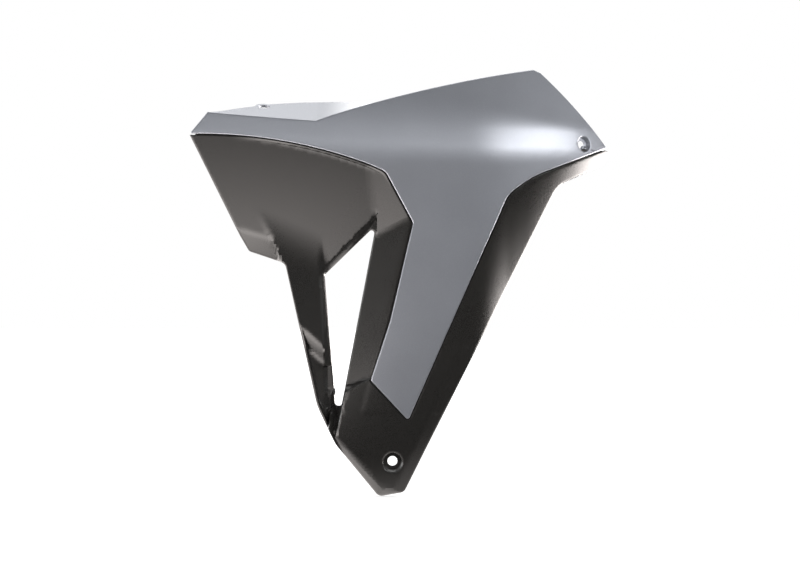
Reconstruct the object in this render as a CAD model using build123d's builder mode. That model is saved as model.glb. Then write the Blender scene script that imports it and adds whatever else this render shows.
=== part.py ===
from build123d import *
from math import atan2, degrees, radians, sqrt, tan
import os

# Radiator shroud for the left side of a motorcycle, in millimetres.
# X runs rearwards, Y runs inboard towards the radiator and Z runs up.
# The origin is on the axis of the lower bolt hole, in the middle of the wall that the bolt clamps.
# A smooth grey cover lies over a dark moulding with a triangular air vent, and screws join them.

# Overall size. The side outlines are drawn for these and stretch with them.
shroud_length = 442.0
shroud_height = 450.0
drawn_length = 442.0
drawn_height = 450.0
stretch_x = shroud_length / drawn_length
stretch_z = shroud_height / drawn_height

# Moulding sizes
wall = 2.5
flange_depth = 15.0
cover_flange = 12.0
seat_gap = 0.25
shadow_gap = 1.2
leg_inlay_step = 1.2

# Outer skin: a bowed plan curve, and three bands of different pitch in every vertical section
bolt_setback = 8.5
ridge_height = 324.0 * stretch_z
leg_pitch = -9.3
side_pitch = 10.0
wing_pitch = 27.0
bow_slope = 0.03
bow_radius = 2200.0 * stretch_x
sweep_start = 77.0 * stretch_x
sweep_radius = 235.0 * stretch_x
fold_height_at_origin = 374.0 * stretch_z
fold_drop = 0.12
ridge_blend_share = 0.36
fold_blend_share_front = 0.55
fold_blend_share_rear = 0.25

# Top plate behind the nose
top_plate_pitch = 18.0
top_plate_slope = -0.066
top_plate_height = 352.3 * stretch_z
top_plate_edge = [(-181, -45.8), (-160, -29.5), (-128, -8), (-97, 5), (-55, 17), (-23, 21.3), (25, -30), (40, -58)]

# Bolt holes
lower_hole_diameter = 10.5
lower_floor_diameter = 16.3
lower_rim_diameter = 20.8
lower_floor = 3.0
rear_hole_diameter = 8.5
rear_floor_diameter = 14.0
rear_rim_diameter = 16.0
rear_recess_depth = 5.0
top_hole_diameter = 11.5
top_tab_diameter = 20.0
rear_bolt_place = (202.3 * stretch_x, 334.6 * stretch_z)
top_bolt_plan = (-135.0 * stretch_x, -18.5)

# Screws that join the two mouldings from behind
screw_diameter = 4.0
screw_core_diameter = 2.8
screw_play = 0.4
screw_head_diameter = 8.0
screw_head_height = 2.4
screw_length = 8.5
screw_recess_length = 4.5
screw_recess_width = 1.1
screw_recess_depth = 1.4
boss_diameter = 7.0
boss_height = 7.0
boss_bore_diameter = 2.9
boss_clearance = 0.4
screw_cup_wall = 1.8
screw_cup_floor = 2.0

# Sunken panel below the pillar
pocket_depth = 11.0
pocket_rim = 2.2

block_back = 210.0 * max(stretch_x, stretch_z)
block_low = -90.0 * stretch_z
block_high = 470.0 * stretch_z


def side(*points):
    """Side-view points, stretched from the drawn size to the overall size."""
    return [(x * stretch_x, z * stretch_z) for x, z in points]


# The outer skin


def plan_sine(x):
    """Sine of the plan curve's angle: a slow bow, then a tighter sweep inboard at the rear."""
    return bow_slope + min(x, sweep_start) / bow_radius + max(0.0, x - sweep_start) / sweep_radius


def plan_slope(x):
    return plan_sine(x) / sqrt(1 - plan_sine(x) ** 2)


def arc_rise(radius, sine_start, sine_end):
    return radius * (sqrt(1 - sine_start**2) - sqrt(1 - sine_end**2))


def plan_depth(x):
    """How far inboard the skin lies at x, against its depth over the origin."""
    bow = arc_rise(bow_radius, plan_sine(0), plan_sine(min(x, sweep_start)))
    sweep = arc_rise(sweep_radius, plan_sine(sweep_start), plan_sine(max(x, sweep_start)))
    return bow + sweep


def fold_height(x):
    return fold_height_at_origin - fold_drop * x


band_slopes = [tan(radians(pitch)) for pitch in (leg_pitch, side_pitch, wing_pitch)]
ridge_depth = -(bolt_setback + leg_inlay_step) + band_slopes[0] * ridge_height


def band_offsets(x, inset):
    """The three bands at x as y = offset + slope * z, each moved in by inset along its normal."""
    leg = ridge_depth + plan_depth(x) - band_slopes[0] * ridge_height
    flank = ridge_depth + plan_depth(x) - band_slopes[1] * ridge_height
    wing = flank + (band_slopes[1] - band_slopes[2]) * fold_height(x)
    return [
        offset_y + inset * sqrt(1 + plan_slope(x) ** 2 + slope**2)
        for offset_y, slope in zip((leg, flank, wing), band_slopes)
    ]


def skin_depth(x, z):
    """Y of the outer skin, before its two blends."""
    return max(offset_y + slope * z for offset_y, slope in zip(band_offsets(x, 0), band_slopes))


def section_corners(x, inset):
    leg, flank, wing = band_offsets(x, inset)
    leg_slope, flank_slope, wing_slope = band_slopes
    ridge = (flank - leg) / (leg_slope - flank_slope)
    fold = (wing - flank) / (flank_slope - wing_slope)
    return [
        (leg + leg_slope * block_low, block_low),
        (leg + leg_slope * ridge, ridge),
        (flank + flank_slope * fold, fold),
        (wing + wing_slope * block_high, block_high),
    ]


def ridge_blend(x):
    span = fold_height(x) - ridge_height
    return ridge_blend_share * span / tan(radians((side_pitch - leg_pitch) / 2))


def fold_blend(x):
    """The fold is soft over the nose and tightens towards the rear."""
    span = fold_height(x) - ridge_height
    softness = max(0.0, min(1.0, (170 * stretch_x - x) / (120 * stretch_x)))
    share = fold_blend_share_rear + (fold_blend_share_front - fold_blend_share_rear) * softness
    return share * span / tan(radians((wing_pitch - side_pitch) / 2))


skin_stations = [x * stretch_x for x in (-240, -150, -60, 20, 80, 120, 160, 200, 245)]


def skin(inset):
    """Solid behind the outer skin, lofted through vertical sections and moved in by inset."""
    with BuildPart() as block:
        for x in skin_stations:
            corners = section_corners(x, inset)
            back = [(block_back, block_high), (block_back, block_low)]
            with BuildSketch(Plane.YZ.offset(x)) as section:
                with BuildLine():
                    Polyline(*corners, *back, close=True)
                make_face()
                fillet(section.vertices().sort_by_distance(corners[1])[0], ridge_blend(x) - inset)
                fillet(section.vertices().sort_by_distance(corners[2])[0], fold_blend(x) - inset)
        loft()
    return block.part


# Flat facets of the dark moulding, each as (depth at the origin, slope along X, slope along Z)


def facet_through(points):
    """The facet through three points given as (x, y, z)."""
    face = Plane(Face(Wire.make_polygon([Vector(*point) for point in points])))
    normal = face.z_dir
    slope_x, slope_z = -normal.X / normal.Y, -normal.Z / normal.Y
    x, y, z = points[0]
    return (y - slope_x * x - slope_z * z, slope_x, slope_z)


def turned_back(facet, start, end, fall):
    """The facet that leaves another along the side-view line from start to end.

    To the left of that line it drops inboard by fall for every millimetre.
    """
    depth, slope_x, slope_z = facet
    (x1, z1), (x2, z2) = start, end
    length = sqrt((x2 - x1) ** 2 + (z2 - z1) ** 2)
    along_x, along_z = (x2 - x1) / length, (z2 - z1) / length
    return (
        depth + fall * (along_z * x1 - along_x * z1),
        slope_x - fall * along_z,
        slope_z + fall * along_x,
    )


def facet_plane(facet, inset):
    """The facet's plane with its normal outwards, moved in by inset."""
    depth, slope_x, slope_z = facet
    normal = Vector(slope_x, -1, slope_z).normalized()
    return Plane(origin=Vector(0, depth, 0) - normal * inset, z_dir=normal)


def facet_block(facets, inset, region):
    """Solid behind several facets, inside a side-view region."""
    with BuildPart() as block:
        with BuildSketch(Plane.XZ):
            with BuildLine():
                Polyline(*region, close=True)
            make_face()
        extrude(amount=block_back, both=True)
        for facet in facets:
            split(bisect_by=facet_plane(facet, inset), keep=Keep.BOTTOM)
    return block.part


def leg_point(x, z):
    return (x, skin_depth(x, z) + leg_inlay_step, z)


leg_facet = facet_through([leg_point(-20, 0), leg_point(60, 20), leg_point(20, 200 * stretch_z)])

# Front facets
front_points = side((-212, 343), (-20, 310), (-127.4, 234.2))
front_depths = (-51.9, -57.0, -24.2)
front_facet = facet_through([(x, y, z) for (x, z), y in zip(front_points, front_depths)])
chin_line = side((-125.3, 232.1), (-159.9, 242.6))
chin_facet = turned_back(front_facet, *chin_line, 0.6)
vent_bevel_line = side((-15.0, 261.4), (-70.7, 203.7))
vent_bevel_facet = turned_back(front_facet, *vent_bevel_line, 1.4)
pillar_points = side((-127.4, 234.2), (-70.7, 203.7), (-75, 60))
pillar_depths = (-24.2, -21.1, -16.9)
pillar_facet = facet_through([(x, y, z) for (x, z), y in zip(pillar_points, pillar_depths)])
pillar_side_line = side((-76.0, 203.7), (-68.0, 6.0))
pillar_side_facet = turned_back(pillar_facet, *pillar_side_line, 0.9)

# Facets around the leg and the foot
vent_side_line = side((-21.3, 88.2), (19.6, 254.1))
vent_side_facet = turned_back(leg_facet, *vent_side_line, 0.466)
rear_bevel_line = side((75.3, 126.0), (3.9, -29.4))
rear_bevel_facet = turned_back(leg_facet, *rear_bevel_line, 0.36)
foot_top_line = side((-22.4, 88.2), (-48.6, 73.5))
foot_top_line = foot_top_line[::-1]
foot_top_facet = turned_back(leg_facet, *foot_top_line, 2.2)
foot_front_line = side((-57.0, 33.0), (-48.6, 73.5))
foot_front_facet = turned_back(leg_facet, *foot_front_line, 2.2)
foot_chamfer_line = side((-12.9, -27.3), (-54.9, 22.1))
foot_chamfer_facet = turned_back(leg_facet, *foot_chamfer_line, 1.7)
foot_bottom_line = side((3.9, -31.0), (-12.9, -28.5))
foot_bottom_facet = turned_back(leg_facet, *foot_bottom_line, 1.7)

# Rear strip: where it leaves the skin, and its slope in the vertical section there
strip_crease = side((77, 139), (88, 186), (100, 222), (113, 257), (130, 280), (155, 298), (180, 310), (210, 321), (240, 332))
strip_slopes = (-0.29, -0.34, -0.40, -0.48, -0.55, -0.63, -0.72, -0.85, -1.0)


def strip_cutter(inset):
    """What lies in front of the twisted rear strip."""
    with BuildPart() as cutter:
        for (x, z), slope in zip(strip_crease, strip_slopes):
            depth = skin_depth(x, z) + leg_inlay_step + inset * sqrt(1 + plan_slope(x) ** 2 + slope**2)
            low, high = -150 * stretch_z, 60 * stretch_z
            with BuildSketch(Plane.YZ.offset(x)):
                with BuildLine():
                    Polyline(
                        (-block_back, z + low),
                        (depth + slope * low, z + low),
                        (depth + slope * high, z + high),
                        (-block_back, z + high),
                        close=True,
                    )
                make_face()
        loft()
    return cutter.part


front_region = side((-240, -20), (20, -20), (20, 400), (-240, 400))
pillar_region = side((-240, -20), (-45, -20), (-45, 400), (-240, 400))
leg_region = side((-70, 50), (260, 50), (260, 400), (-70, 400))
foot_region = side((-70, -60), (260, -60), (260, 120), (-70, 120))


def dark_block(inset):
    """Solid behind the whole outer face of the dark moulding, moved in by inset."""
    with BuildPart() as block:
        add(facet_block([front_facet, chin_facet, vent_bevel_facet], inset, front_region))
        add(facet_block([pillar_facet, pillar_side_facet], inset, pillar_region))
        leg_skin = skin(leg_inlay_step + inset) - strip_cutter(inset)
        add(leg_skin & facet_block([vent_side_facet, rear_bevel_facet], inset, leg_region))
        foot_facets = [rear_bevel_facet, foot_top_facet, foot_front_facet, foot_chamfer_facet, foot_bottom_facet]
        add(leg_skin & facet_block(foot_facets, inset, foot_region))
    return block.part


# Side outlines, each a closed line in the side view


def top_crease(x):
    """Height at which the top plate's plane meets the skin."""
    rise = tan(radians(top_plate_pitch))
    flank = band_offsets(x, 0)[1]
    reference = band_offsets(0, 0)[1] + band_slopes[1] * top_plate_height
    return (top_plate_height + top_plate_slope * x + rise * (flank - reference)) / (1 - rise * band_slopes[1])


def cover_outline():
    """The grey cover: lower edge, inlaid leg, rear point, wing crest, and the nose's crease."""
    lower_edge = side((-210.3, 344.4), (-107.4, 335.5), (-23.4, 311.9))
    leg = side((-7.0, 304.6), (21.9, 251.0), (-2.5, 147.0), (-22.8, 85.2), (16.8, 42.6))
    rear_edge = side((104.0, 241.0), (121.5, 281.0), (146.0, 299.5), (227.5, 330.8))
    wing_edge = side((227.5, 330.8), (190.0, 376.3), (156.6, 410.0))
    wing_top = side((149.0, 413.3), (39.6, 392.2), (-65.4, 363.3))
    crease = [(x, top_crease(x)) for x, _ in side((-80, 0), (-135, 0), (-193.5, 0))]
    nose_low = side((-211.0, 346.0))[0]
    with BuildLine() as outline:
        ThreePointArc(*lower_edge)
        FilletPolyline(lower_edge[-1], *leg, *rear_edge, radius=(14, 7, 60, 3, 2.5, 60, 30, 90))
        ThreePointArc(*wing_edge)
        Line(wing_edge[-1], wing_top[0])
        ThreePointArc(*wing_top)
        Line(wing_top[-1], crease[0])
        ThreePointArc(*crease)
        Polyline(crease[-1], nose_low, lower_edge[0])
    return outline.line


def vent_outline():
    corners = side((-17.3, 249.0), (-71.0, 197.0), (-60.2, 58.5), (-53.8, 58.5))
    with BuildLine() as outline:
        FilletPolyline(*corners, radius=3, close=True)
    return outline.line


def dark_outline():
    """The dark moulding's silhouette, closed by the land that lies under the grey cover."""
    front = side((-205, 350), (-212.8, 343.5), (-160.5, 237.5), (-151.5, 221.5), (-113.0, 208.5))
    pillar_and_foot = side((-79.5, 58.0), (-60.0, 17.0), (-14.5, -38.8), (12.5, -33.5))
    rear = side((175.0, 291.0), (222.5, 312.5), (230.0, 325.5), (225.5, 330.0), (214.0, 333.0))
    radii = (1, 6, 5, 8, 60, 40, 8, 8, 28, 8, 1, 1)
    land_rear = side((214, 333), (186, 326), (150, 314), (118, 297), (60, 290), (10, 292))
    land_front = side((-12, 320), (-60, 341), (-125, 354), (-190, 358), (-205, 350))
    with BuildLine() as outline:
        FilletPolyline(*front, *pillar_and_foot, *rear, radius=radii)
        Polyline(*land_rear, *land_front)
    return outline.line


def pocket_outline():
    """The sunken panel between the pillar, the vent and the foot."""
    corners = side((-110, 141), (-84, 114), (-66, 100), (-63.6, 78), (-66.5, 52), (-69.5, 36), (-110, 36))
    with BuildLine() as outline:
        Polyline(*corners, close=True)
    return outline.line


def prism(outline, grow=0.0):
    """A side-view outline, grown or shrunk, as a solid that runs right through the block."""
    with BuildPart() as solid:
        with BuildSketch(Plane.XZ):
            with BuildLine():
                add(outline)
            make_face()
            if grow:
                offset(amount=grow)
        extrude(amount=block_back, both=True)
    return solid.part


def inboard(solid, distance):
    """The solid moved inboard, along the way that both mouldings leave their mould."""
    return Pos(0, distance, 0) * solid


def plug(planes, start, end, diameter, flare=0.0):
    """A round plug between two heights over each plane, widening upwards by flare degrees."""
    with BuildPart() as solid:
        for plane in planes:
            with BuildSketch(plane.offset(start)):
                Circle(diameter / 2)
            extrude(amount=end - start, taper=-flare)
    return solid.part


# Places and axes of the fixings. Screw planes look inboard from the ends of the cover's bosses.
lower_plane = Plane(origin=(0, 0, 0), z_dir=facet_plane(leg_facet, 0).z_dir)
rear_x, rear_z = rear_bolt_place
rear_normal = Vector(plan_slope(rear_x), -1, band_slopes[1])
rear_plane = Plane(origin=(rear_x, skin_depth(rear_x, rear_z), rear_z), z_dir=rear_normal)
screw_places = side((-172, 350.5), (-100, 341.5), (-30, 321.3), (25, 215), (8, 82), (140, 301.5))
screw_planes = [
    Plane(origin=(x, skin_depth(x, z) + wall + boss_height, z), x_dir=(1, 0, 0), z_dir=(0, 1, 0))
    for x, z in screw_places
]
boss_root = -2 * boss_height

# Dark moulding with the vent

open_top = 3 * wall
dark_face = dark_block(0)
land_outer = skin(wall + seat_gap)
land_inner = skin(2 * wall + seat_gap)
hollow_outline = prism(dark_outline(), -wall)

with BuildPart() as hollow:
    add(hollow_outline)
    add(Pos(0, 0, open_top) * hollow_outline)
    add(dark_block(wall), mode=Mode.INTERSECT)
    add(prism(vent_outline(), wall), mode=Mode.SUBTRACT)
    # The wall steps inboard where the cover lies on it, and at the sunken panel
    add(prism(cover_outline(), shadow_gap + wall) - land_inner, mode=Mode.SUBTRACT)
    add(prism(pocket_outline(), wall) - inboard(dark_face, pocket_depth + wall), mode=Mode.SUBTRACT)

lower_face_height = -leg_facet[0] * abs(lower_plane.z_dir.Y)
lower_flare = degrees(atan2((lower_rim_diameter - lower_floor_diameter) / 2, lower_face_height - lower_floor / 2))
land_cup_diameter = boss_diameter + 2 * boss_clearance + 2 * screw_cup_wall

with BuildPart() as vent_panel:
    add(prism(dark_outline()))
    add(dark_face - inboard(dark_face, flange_depth), mode=Mode.INTERSECT)
    add(hollow.part, mode=Mode.SUBTRACT)
    add(prism(vent_outline()), mode=Mode.SUBTRACT)
    add(prism(cover_outline(), shadow_gap) - land_outer, mode=Mode.SUBTRACT)
    pocket = prism(pocket_outline()) & prism(dark_outline(), -pocket_rim)
    add(pocket - inboard(dark_face, pocket_depth), mode=Mode.SUBTRACT)
    # Lower bolt cup: a flat floor for the washer under a tapered recess
    cup_top = lower_face_height + wall
    add(plug([lower_plane], -lower_floor / 2, cup_top, lower_floor_diameter + 2 * wall, lower_flare) & dark_face)
    add(plug([lower_plane], lower_floor / 2, cup_top, lower_floor_diameter, lower_flare), mode=Mode.SUBTRACT)
    add(plug([lower_plane], -lower_floor, lower_floor, lower_hole_diameter), mode=Mode.SUBTRACT)
    # Cups that take the cover's bosses, with a floor for each screw head
    add(plug(screw_planes, boss_root, seat_gap + screw_cup_floor, land_cup_diameter) & land_outer)
    add(plug(screw_planes, boss_root, seat_gap, boss_diameter + 2 * boss_clearance), mode=Mode.SUBTRACT)
    add(plug(screw_planes, 0, 2 * screw_cup_floor, screw_diameter + screw_play), mode=Mode.SUBTRACT)
    # Room for the rear bolt cup of the cover
    rear_room = rear_rim_diameter + 2 * (wall + shadow_gap)
    add(plug([rear_plane], -3 * rear_recess_depth, wall, rear_room), mode=Mode.SUBTRACT)
vent_panel.part.label = "vent_panel"

# Grey cover

cover_face = skin(0)
cover_core = skin(wall / 2)
rear_flare = degrees(atan2((rear_rim_diameter - rear_floor_diameter) / 2, rear_recess_depth))
top_plate_rise = tan(radians(top_plate_pitch))
top_plate_origin = (0, band_offsets(0, 0)[1] + band_slopes[1] * top_plate_height, top_plate_height)
top_plate_plane = Plane(origin=top_plate_origin, z_dir=(-top_plate_slope, -top_plate_rise, 1))
top_bolt_x, top_bolt_y = top_bolt_plan
top_bolt_z = top_plate_height + top_plate_slope * top_bolt_x + top_plate_rise * (top_bolt_y - top_plate_origin[1])
top_bolt_plane = Plane(origin=(top_bolt_x, top_bolt_y, top_bolt_z), z_dir=top_plate_plane.z_dir)
nose_x = -193.5 * stretch_x
nose_depth = band_offsets(nose_x, 0)[1] + band_slopes[1] * top_crease(nose_x)
wing_flange_region = side((-62, 350), (150, 350), (190, 337), (240, 337), (240, 430), (-62, 430))
nose_flange_region = side((-230, 353), (-191, 353), (-191, 380), (-230, 380))

with BuildPart() as top_plate:
    with BuildSketch(Plane.XY):
        with BuildLine():
            inner_edge = [(x * stretch_x, y) for x, y in top_plate_edge]
            rear_x_limit, past_skin = inner_edge[-1][0], nose_depth - 50
            Polyline((nose_x, past_skin), (nose_x, nose_depth), *inner_edge, (rear_x_limit, past_skin), close=True)
        make_face()
        with Locations(top_bolt_plan):
            Circle(top_tab_diameter / 2)
    extrude(amount=block_high)
    split(bisect_by=top_plate_plane, keep=Keep.BOTTOM)
    split(bisect_by=top_plate_plane.offset(-wall), keep=Keep.TOP)
    add(cover_face, mode=Mode.INTERSECT)
    add(plug([top_bolt_plane], -3 * wall, 3 * wall, top_hole_diameter), mode=Mode.SUBTRACT)

with BuildPart() as flange:
    for region in (wing_flange_region, nose_flange_region):
        with BuildSketch(Plane.XZ):
            with BuildLine():
                Polyline(*region, close=True)
            make_face()
        extrude(amount=block_back, both=True)
    add(prism(cover_outline()) - prism(cover_outline(), -wall), mode=Mode.INTERSECT)
    add(cover_face - inboard(cover_face, cover_flange), mode=Mode.INTERSECT)

with BuildPart() as outer_panel:
    add(prism(cover_outline()))
    add(cover_face - skin(wall), mode=Mode.INTERSECT)
    add(flange.part)
    add(top_plate.part)
    # Rear bolt cup
    cup_floor = -rear_recess_depth - wall
    add(plug([rear_plane], cup_floor, wall, rear_floor_diameter + 2 * wall, rear_flare) & cover_face)
    add(plug([rear_plane], -rear_recess_depth, 2 * wall, rear_floor_diameter, rear_flare), mode=Mode.SUBTRACT)
    add(plug([rear_plane], 2 * cup_floor, 0, rear_hole_diameter), mode=Mode.SUBTRACT)
    # Screw bosses
    add(plug(screw_planes, boss_root, 0, boss_diameter) & cover_core)
    add(plug(screw_planes, -boss_height, 0, boss_bore_diameter), mode=Mode.SUBTRACT)
outer_panel.part.label = "outer_panel"

# Screws

head_seat = seat_gap + screw_cup_floor
screw_tip = head_seat - screw_length
tip_chamfer = screw_core_diameter / 4
with BuildPart() as screw:
    with BuildSketch(Plane.XY.offset(head_seat)):
        Circle(screw_head_diameter / 2)
    extrude(amount=screw_head_height)
    chamfer(screw.edges().group_by(Axis.Z)[-1], screw_head_height / 3)
    with BuildSketch(Plane.XY.offset(head_seat)):
        Circle(screw_diameter / 2)
    extrude(amount=seat_gap / 2 - head_seat)
    with BuildSketch(Plane.XY.offset(screw_tip)):
        Circle(screw_core_diameter / 2)
    extrude(amount=head_seat - screw_tip)
    chamfer(screw.edges().group_by(Axis.Z)[0], tip_chamfer)
    with BuildSketch(Plane.XY.offset(head_seat + screw_head_height)):
        Rectangle(screw_recess_length, screw_recess_width)
        Rectangle(screw_recess_width, screw_recess_length)
    extrude(amount=-screw_recess_depth, mode=Mode.SUBTRACT)

with BuildPart() as joining_screws:
    with Locations(*screw_planes):
        add(screw.part)
joining_screws.part.label = "joining_screws"

os.makedirs("parts", exist_ok=True)
for piece in (vent_panel, outer_panel, joining_screws):
    export_step(piece.part, f"parts/{piece.part.label}.step")
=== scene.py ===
# %% [markdown]
# # A radiator shroud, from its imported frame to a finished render
#
# The shroud sits on the left side of a motorcycle and leads air into the radiator. It is two
# mouldings: a satin grey cover with a nose, a top plate and a wing, and a dark faceted moulding
# with a three-sided air vent. Screws join them from behind. X runs rearwards, Y inboard, Z up,
# and every length here is in metres.

# %% Load the frame
from math import atan2, cos, pi, radians, sin, sqrt, tan

import bmesh
import bpy
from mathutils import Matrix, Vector


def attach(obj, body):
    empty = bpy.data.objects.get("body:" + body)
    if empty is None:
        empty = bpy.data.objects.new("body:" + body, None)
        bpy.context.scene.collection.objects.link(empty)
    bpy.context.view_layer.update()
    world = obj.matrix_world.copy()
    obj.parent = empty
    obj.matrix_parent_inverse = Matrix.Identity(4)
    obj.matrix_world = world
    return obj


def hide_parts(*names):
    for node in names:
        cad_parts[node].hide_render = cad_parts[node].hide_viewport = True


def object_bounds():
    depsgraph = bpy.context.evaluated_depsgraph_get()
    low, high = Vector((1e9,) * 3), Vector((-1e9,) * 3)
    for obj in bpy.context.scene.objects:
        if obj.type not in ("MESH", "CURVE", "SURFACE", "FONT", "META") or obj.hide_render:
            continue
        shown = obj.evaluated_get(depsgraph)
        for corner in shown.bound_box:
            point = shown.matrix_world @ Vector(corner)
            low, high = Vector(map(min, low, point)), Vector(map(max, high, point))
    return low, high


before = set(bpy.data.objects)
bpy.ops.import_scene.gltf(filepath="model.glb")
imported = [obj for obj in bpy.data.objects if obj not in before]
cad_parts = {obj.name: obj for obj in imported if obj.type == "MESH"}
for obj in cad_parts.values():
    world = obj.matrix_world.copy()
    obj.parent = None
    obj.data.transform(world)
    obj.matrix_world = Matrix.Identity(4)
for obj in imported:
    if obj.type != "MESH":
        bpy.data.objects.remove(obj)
cad_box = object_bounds()
print("nodes:", sorted(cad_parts))
print("box:", [[round(value, 4) for value in corner] for corner in cad_box])

# %% [markdown]
# ## Shader maths as expressions
#
# A material is a small network of nodes. Written as plain expressions it reads like the formula
# that it is. The class wraps one output socket, and an operator on it adds a Math node.


# %% A socket that can be added, scaled and compared
class Wire:
    """One output socket, or a plain number, that adds Math nodes as it is used."""

    def __init__(self, tree, socket):
        self.tree, self.socket = tree, socket

    def maths(self, operation, *values):
        return node(self.tree, "ShaderNodeMath", {"operation": operation}, *values)

    def __add__(self, other):
        return self.maths("ADD", self, other)

    def __radd__(self, other):
        return self.maths("ADD", other, self)

    def __sub__(self, other):
        return self.maths("SUBTRACT", self, other)

    def __rsub__(self, other):
        return self.maths("SUBTRACT", other, self)

    def __mul__(self, other):
        return self.maths("MULTIPLY", self, other)

    def __rmul__(self, other):
        return self.maths("MULTIPLY", other, self)

    def __truediv__(self, other):
        return self.maths("DIVIDE", self, other)

    def clamp(self):
        return node(self.tree, "ShaderNodeClamp", {}, self)

    def above(self, edge, softness):
        """Runs from 0 to 1 as the value passes the edge."""
        return ((self - edge) / softness + 0.5).clamp()


def node(tree, kind, settings, *values, output=0, **named):
    """Any node: its settings first, then the values or links of its sockets, by place or name."""
    made = tree.nodes.new(kind)
    for key, value in settings.items():
        setattr(made, key, value)
    pairs = [(made.inputs[place], value) for place, value in enumerate(values) if value is not None]
    pairs += [(made.inputs[name.replace("_", " ")], value) for name, value in named.items()]
    for socket, value in pairs:
        if isinstance(value, Wire):
            tree.links.new(value.socket, socket)
        else:
            socket.default_value = value
    return Wire(tree, made.outputs[output])


def mix_colour(tree, factor, first, second):
    """Mix two colours, given as Wires or as linear RGB."""
    made = tree.nodes.new("ShaderNodeMix")
    made.data_type = "RGBA"
    for name, value in (("Factor_Float", factor), ("A_Color", first), ("B_Color", second)):
        socket = next(one for one in made.inputs if one.identifier == name)
        if isinstance(value, Wire):
            tree.links.new(value.socket, socket)
        else:
            socket.default_value = value if isinstance(value, float) else (*value, 1.0)
    return Wire(tree, next(one for one in made.outputs if one.identifier == "Result_Color"))


def new_material(name):
    """A material with its node tree, its Principled shader and its Object coordinates."""
    material = bpy.data.materials.new(name)
    material.use_nodes = True
    tree = material.node_tree
    place = node(tree, "ShaderNodeTexCoord", {}, output=3)
    return material, tree, tree.nodes["Principled BSDF"], place


def feed(tree, shader, **links):
    """Link Wires or set plain values on a shader's sockets."""
    for name, value in links.items():
        socket = shader.inputs[name.replace("_", " ")]
        if isinstance(value, Wire):
            tree.links.new(value.socket, socket)
        else:
            socket.default_value = value


# %% [markdown]
# ## Satin grey
#
# The cover is plastic with a satin metallic finish: a cool grey base, fine flakes that catch the
# light one by one, and a thin clear coat whose slight unevenness softens each reflection. The
# flakes are a noise of about a third of a millimetre, and they only shift colour and roughness a
# little, so that from a metre away the panel is an even grey.


# %% Make the satin grey
def satin_grey():
    material, tree, shader, place = new_material("satin_grey")
    flake = node(tree, "ShaderNodeTexNoise", {}, place, Scale=2600.0, Detail=2.0, Roughness=0.6)
    drift = node(tree, "ShaderNodeTexNoise", {}, place, Scale=14.0, Detail=3.0, Roughness=0.5)
    sparkle = flake.above(0.62, 0.2)
    deep, pale = (0.285, 0.297, 0.330), (0.335, 0.348, 0.385)
    tone = mix_colour(tree, drift, deep, pale)
    tone = mix_colour(tree, sparkle * 0.35, tone, (0.50, 0.52, 0.56))
    grain = node(tree, "ShaderNodeTexNoise", {}, place, Scale=900.0, Detail=3.0, Roughness=0.6)
    bump = node(tree, "ShaderNodeBump", {}, Strength=0.06, Distance=0.0002, Height=grain)
    roughness = 0.36 + 0.08 * drift - 0.05 * sparkle
    feed(tree, shader, Base_Color=tone, Metallic=0.55, Roughness=roughness, Normal=bump)
    feed(tree, shader, Coat_Weight=0.25, Coat_Roughness=0.22)
    return material


# %% [markdown]
# ## Dark plastic
#
# The lower moulding is coloured right through, a warm black. Its mould was finely sparked, which
# leaves a soft, even sheen and a grain too fine to see except where light grazes it.


# %% Make the dark plastic
def dark_plastic():
    material, tree, shader, place = new_material("dark_plastic")
    drift = node(tree, "ShaderNodeTexNoise", {}, place, Scale=11.0, Detail=4.0, Roughness=0.55)
    grain = node(tree, "ShaderNodeTexNoise", {}, place, Scale=1500.0, Detail=3.0, Roughness=0.65)
    tone = mix_colour(tree, drift, (0.013, 0.0122, 0.0113), (0.019, 0.0178, 0.0165))
    tone = mix_colour(tree, grain.above(0.6, 0.3) * 0.3, tone, (0.030, 0.0285, 0.0265))
    bump = node(tree, "ShaderNodeBump", {}, Strength=0.10, Distance=0.0002, Height=grain)
    feed(tree, shader, Base_Color=tone, Roughness=0.22 + 0.07 * drift + 0.05 * grain, Normal=bump)
    return material


# %% [markdown]
# ## Zinc
#
# The screws are steel with a passivated zinc plating: bright, slightly blue, with a faint warm
# bloom that changes from place to place, and fine turning marks that roughen the reflection.


# %% Make the zinc plating
def zinc():
    material, tree, shader, place = new_material("zinc_screw")
    bloom = node(tree, "ShaderNodeTexNoise", {}, place, Scale=220.0, Detail=3.0, Roughness=0.5)
    tone = mix_colour(tree, bloom.above(0.5, 0.3), (0.56, 0.58, 0.61), (0.66, 0.63, 0.55))
    feed(tree, shader, Base_Color=tone, Metallic=1.0, Roughness=0.30 + 0.15 * bloom)
    return material


finishes = {"satin_grey": satin_grey(), "dark_plastic": dark_plastic(), "zinc_screw": zinc()}
print("finishes:", sorted(finishes))

# %% [markdown]
# ## The screws
#
# The frame's own meshes are exact. The screws sit behind, where the frame's solids already have
# their form, so they stay and only get their finish. The two mouldings are modelled anew below.

# %% Give the screws their finish


def clothe(piece, finish):
    piece.data.materials.clear()
    piece.data.materials.append(finishes[finish])


clothe(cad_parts["joining_screws"], "zinc_screw")

# %% [markdown]
# ## How the two mouldings are described
#
# Both mouldings are thin walls with a smooth outer face, so each is modelled as a flat sheet in
# side view, cut fine, and then lifted: every vertex moves along Y to the depth that a formula
# gives for its x and z. The outlines follow those of the frame's own solids. The slopes of a few
# facets go their own way, because they were tuned to how light falls on the real shroud. All of
# it is in millimetres, and only the finished mesh is in metres.

# %% Arcs and rounded corners in side view
mm = 0.001


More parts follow.
